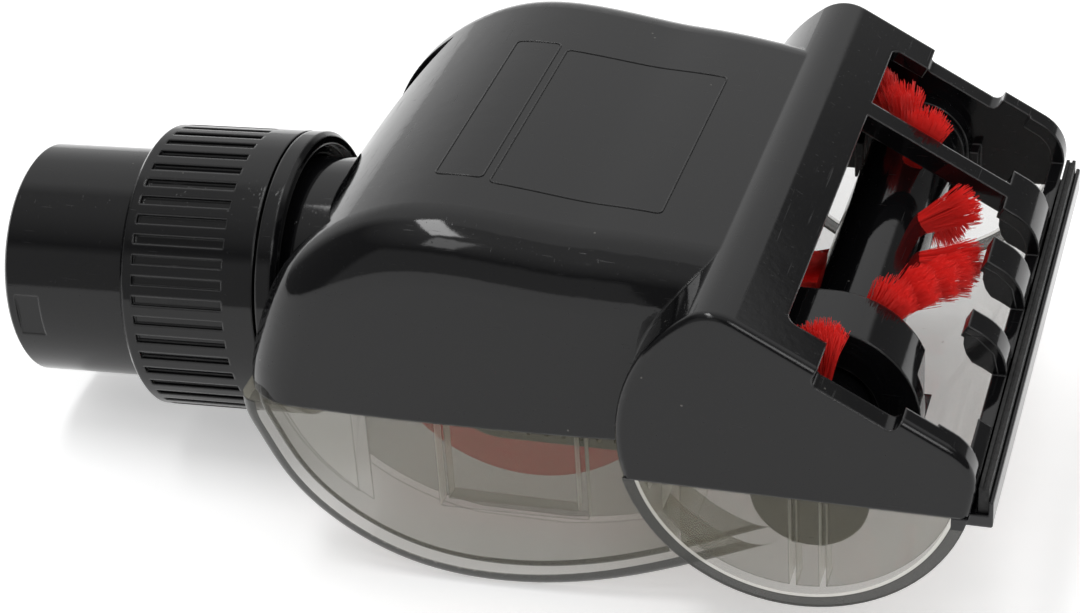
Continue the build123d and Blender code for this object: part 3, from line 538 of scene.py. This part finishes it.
def strand(out, path, start_r, end_r):
    """A thin tapering bristle along a path."""
    rings = []
    for i, point in enumerate(path):
        ahead = path[min(i + 1, len(path) - 1)] - path[max(i - 1, 0)]
        turn = ahead.normalized().to_track_quat("Z", "Y")
        radius = start_r + (end_r - start_r) * i / (len(path) - 1)
        ring = []
        for k in range(BRISTLE_SIDES):
            angle = 2 * math.pi * k / BRISTLE_SIDES
            corner = Vector((radius * math.cos(angle), radius * math.sin(angle), 0.0))
            ring.append(out.verts.new(point + turn @ corner))
        rings.append(ring)
    for low, high in zip(rings, rings[1:]):
        for k in range(BRISTLE_SIDES):
            after = (k + 1) % BRISTLE_SIDES
            out.faces.new((low[k], low[after], high[after], high[k]))
    out.faces.new(rings[0][::-1])
    out.faces.new(rings[-1])


def fan_rooms(places, number):
    """How far a tuft may fan out along the roller towards each of its neighbours."""
    rooms = []
    for other in (number - 1, number + 1):
        has_neighbour = 0 <= other < len(places)
        gap = abs(places[other] - places[number]) if has_neighbour else 2 * TUFT_CLOSE_SPACING
        rooms.append(gap / 2 if gap < TUFT_CLOSE_SPACING else TUFT_AXIAL_SPREAD)
    return rooms


def bristles(row, axis_point, rng):
    """The loose bristles of one row, each tuft fanned out round its CAD cone."""
    out = bmesh.new()
    tufts = islands(row)
    places = [middle(points).y for points in tufts]
    for number, points in enumerate(tufts):
        rooms = fan_rooms(places, number)
        reach = [math.hypot(p.x - axis_point.x, p.z - axis_point.z) for p in points]
        foot = [p for p, r in zip(points, reach) if r < min(reach) + TUFT_END_DEPTH]
        end = [p for p, r in zip(points, reach) if r > max(reach) - TUFT_END_DEPTH]
        root = middle(foot)
        whole = middle(end) - root
        way = whole.normalized()
        turning = way.cross(AXIAL).normalized()
        foot_r = TUFT_FOOT_SHARE * max((p - root - way * way.dot(p - root)).length for p in foot)
        for _ in range(BRISTLES_PER_TUFT):
            angle = rng.uniform(0.0, 2 * math.pi)
            share = math.sqrt(rng.uniform(0.0, 1.0))
            side_a = share * math.cos(angle)
            side_t = share * math.sin(angle)
            start = (AXIAL * side_a + turning * side_t) * foot_r
            room = rooms[0] if side_a < 0 else rooms[1]
            fan = AXIAL * side_a * (room - BRISTLE_RADIUS) * rng.uniform(*AXIAL_FAN)
            fan += turning * side_t * TUFT_TURNING_SPREAD * rng.uniform(*TURNING_FAN)
            shorter = BRISTLE_LENGTH_SPREAD * rng.random() ** 2 + OUTER_SHORTENING * side_t**2
            wave = AXIAL * rng.uniform(-BRISTLE_WAVE, BRISTLE_WAVE) * 0.5
            wave += turning * rng.uniform(-BRISTLE_WAVE, BRISTLE_WAVE)
            path = []
            for i in range(BRISTLE_STEPS + 1):
                t = i / BRISTLE_STEPS
                bow = t**BRISTLE_BOW_POWER
                offset = start * (1 - bow) + fan * bow + wave * math.sin(math.pi * t)
                path.append(root + way * whole.length * (1.0 - shorter) * t + offset)
            strand(out, path, BRISTLE_RADIUS, BRISTLE_RADIUS * BRISTLE_TAPER)
    return out


core_low, core_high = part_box("roller_core")
roller_axis = (core_low + core_high) / 2
rng = random.Random(RANDOM_SEED)
for row in ("bristle_row_a", "bristle_row_b"):
    loose = bristles(row, roller_axis, rng)
    piece = mesh_piece(row.replace("row", "strands"), loose, "red_bristle", "roller")
    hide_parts(row)


def rounded_outline(corners, radius, step):
    """Points round a rectangle with rounded corners, in x and y."""
    low_x, low_y, high_x, high_y = (c * MM for c in corners)
    left = low_x + radius
    right = high_x - radius
    bottom = low_y + radius
    top = high_y - radius
    points = []
    for x, y, start in ((right, bottom, -90), (right, top, 0), (left, top, 90), (left, bottom, 180)):
        for i in range(PANEL_CORNER_STEPS + 1):
            angle = math.radians(start + 90 * i / PANEL_CORNER_STEPS)
            points.append(Vector((x + radius * math.cos(angle), y + radius * math.sin(angle))))
    dense = []
    for a, b in zip(points, points[1:] + points[:1]):
        count = max(1, int((b - a).length / step))
        dense += [a.lerp(b, i / count) for i in range(count)]
    return dense


def moulded_line(outline, surface):
    """A low rounded bead that follows a closed outline over the housing's surface."""
    out = bmesh.new()
    rings = []
    for i, point in enumerate(outline):
        after = outline[(i + 1) % len(outline)]
        before = outline[i - 1]
        along = (after - before).normalized()
        side = Vector((along.y, -along.x))
        ring = []
        for across, up in PANEL_LINE_PROFILE:
            spot = point + side * across * PANEL_LINE_WIDTH / 2
            hit = surface.ray_cast(Vector((spot.x, spot.y, RAY_START_HEIGHT)), -UP)[0]
            ring.append(out.verts.new(hit + UP * up * PANEL_LINE_HEIGHT))
        rings.append(ring)
    for low, high in zip(rings, rings[1:] + rings[:1]):
        for a, b, c, d in zip(low, low[1:], high[1:], high):
            out.faces.new((a, b, c, d))
        out.faces.new((low[0], high[0], high[-1], low[-1]))
    bmesh.ops.recalc_face_normals(out, faces=out.faces)
    return out


housing_surface = BVHTree.FromObject(NODES["base_housing"], bpy.context.evaluated_depsgraph_get())
for name, corners in (("panel_outline_small", PANEL_SMALL), ("panel_outline_large", PANEL_LARGE)):
    bead = moulded_line(rounded_outline(corners, PANEL_CORNER, PANEL_STEP), housing_surface)
    piece = mesh_piece(name, bead, "black_plastic", "housing")
    for polygon in piece.data.polygons:
        polygon.use_smooth = True


def web(outline, y0, y1):
    """A closed block between two sides, from its side view."""
    out = bmesh.new()
    sides = []
    for y in (y0, y1):
        sides.append([out.verts.new((x * MM, y * MM, z * MM)) for x, z in outline])
    out.faces.new(sides[0])
    out.faces.new(sides[1][::-1])
    for i in range(len(outline)):
        after = (i + 1) % len(outline)
        out.faces.new((sides[0][i], sides[1][i], sides[1][after], sides[0][after]))
    bmesh.ops.recalc_face_normals(out, faces=out.faces)
    return out


for number, (y0, y1) in enumerate(WEB_SIDES, 1):
    mesh_piece(f"comb_tooth_web_{number}", web(WEB_OUTLINE, y0, y1), "black_plastic", "housing")


def floor():
    """A large pale floor that the head rests on, with a glow of its own that lifts it to white."""
    plane = bmesh.new()
    level = cad_box[0][2] - FLOOR_DROP
    corners = [(-1, -1), (1, -1), (1, 1), (-1, 1)]
    plane.faces.new([plane.verts.new((x * FLOOR_HALF, y * FLOOR_HALF, level)) for x, y in corners])
    made, tree, shader, place = start_material("floor", Roughness=0.9, Specular_IOR_Level=0.1)
    shader.inputs["Emission Color"].default_value = (1.0, 1.0, 1.0, 1.0)
    shader.inputs["Emission Strength"].default_value = FLOOR_GLOW
    tint(tree, shader, FLOOR_COLOUR, [(noise(tree, place, PAPER_SCALE), FLOOR_SPOT_COLOUR, 1.0)])
    piece = place_mesh("floor", plane, made)


def lamp(name, azimuth, elevation, width, height, radiance):
    """A soft lamp aimed at the head; its azimuth is 0 on the far side and grows towards the roller."""
    turn = math.radians(azimuth)
    rise = math.radians(elevation)
    flat = math.cos(rise)
    way = Vector((flat * math.sin(turn), flat * math.cos(turn), math.sin(rise)))
    data = bpy.data.lights.new(name, "AREA")
    data.shape = "RECTANGLE"
    data.size = width
    data.size_y = height
    data.energy = radiance * math.pi * width * height
    centre = (Vector(cad_box[0]) + Vector(cad_box[1])) / 2
    made = bpy.data.objects.new(name, data)
    made.location = centre + way * LAMP_DISTANCE
    made.rotation_euler = way.to_track_quat("Z", "Y").to_euler()
    bpy.context.scene.collection.objects.link(made)


def surroundings():
    """A bright backdrop on the far side of a dim room with a pale ceiling."""
    world = bpy.data.worlds.new("studio")
    world.use_nodes = True
    bpy.context.scene.world = world
    tree = world.node_tree
    back = tree.nodes["Background"]
    x, y, z = parts_of(tree, add(tree, "ShaderNodeTexCoord").outputs["Generated"])
    azimuth = calc(tree, "ARCTAN2", x, y)
    wider = fade(tree, z, *BACKDROP_WIDENING)
    left = fade(tree, azimuth, *map(math.radians, BACKDROP_LEFT))
    drawn_in = calc(tree, "SUBTRACT", azimuth, wider)
    right = fade(tree, drawn_in, *map(math.radians, BACKDROP_RIGHT), 1.0, 0.0)
    backdrop = fade(tree, z, *BACKDROP_HEIGHTS, *BACKDROP_LEVELS)
    front = between(tree, azimuth, *map(math.radians, FRONT_WALL), FRONT_WALL_SOFT)
    front_wall = calc(tree, "MULTIPLY", front, fade(tree, z, *FRONT_WALL_TOP, FRONT_WALL_LEVEL, 0.0))
    room = calc(tree, "ADD", fade(tree, z, *CEILING_HEIGHTS, *CEILING_LEVELS), front_wall)
    light = add(tree, "ShaderNodeMix", data_type="FLOAT")
    tree.links.new(calc(tree, "MULTIPLY", left, right), light.inputs["Factor"])
    tree.links.new(room, light.inputs["A"])
    tree.links.new(backdrop, light.inputs["B"])
    back.inputs["Color"].default_value = (1.0, 1.0, 1.0, 1.0)
    tree.links.new(light.outputs["Result"], back.inputs["Strength"])


def camera():
    """The camera at the photograph's place and angle."""
    azimuth = math.radians(CAMERA_AZIMUTH)
    elevation = math.radians(CAMERA_ELEVATION)
    roll = math.radians(CAMERA_ROLL)
    flat = math.cos(elevation)
    right = Vector((math.cos(azimuth), math.sin(azimuth), 0.0))
    back = Vector((math.sin(azimuth) * flat, -math.cos(azimuth) * flat, math.sin(elevation)))
    up = back.cross(right)
    turned_right = right * math.cos(roll) + up * math.sin(roll)
    turned_up = up * math.cos(roll) - right * math.sin(roll)
    data = bpy.data.cameras.new("camera")
    data.sensor_width = SENSOR_MM
    data.lens = FOCAL_PIXELS / IMAGE_WIDTH * SENSOR_MM
    data.clip_start = CAMERA_CLIP_START
    made = bpy.data.objects.new("camera", data)
    axes = Matrix((turned_right, turned_up, back)).transposed().to_4x4()
    made.matrix_world = Matrix.Translation(CAMERA_PLACE) @ axes
    bpy.context.scene.collection.objects.link(made)
    bpy.context.scene.camera = made


floor()
surroundings()
for settings in LAMPS:
    lamp(*settings)
camera()
bpy.context.scene.view_settings.view_transform = "Standard"
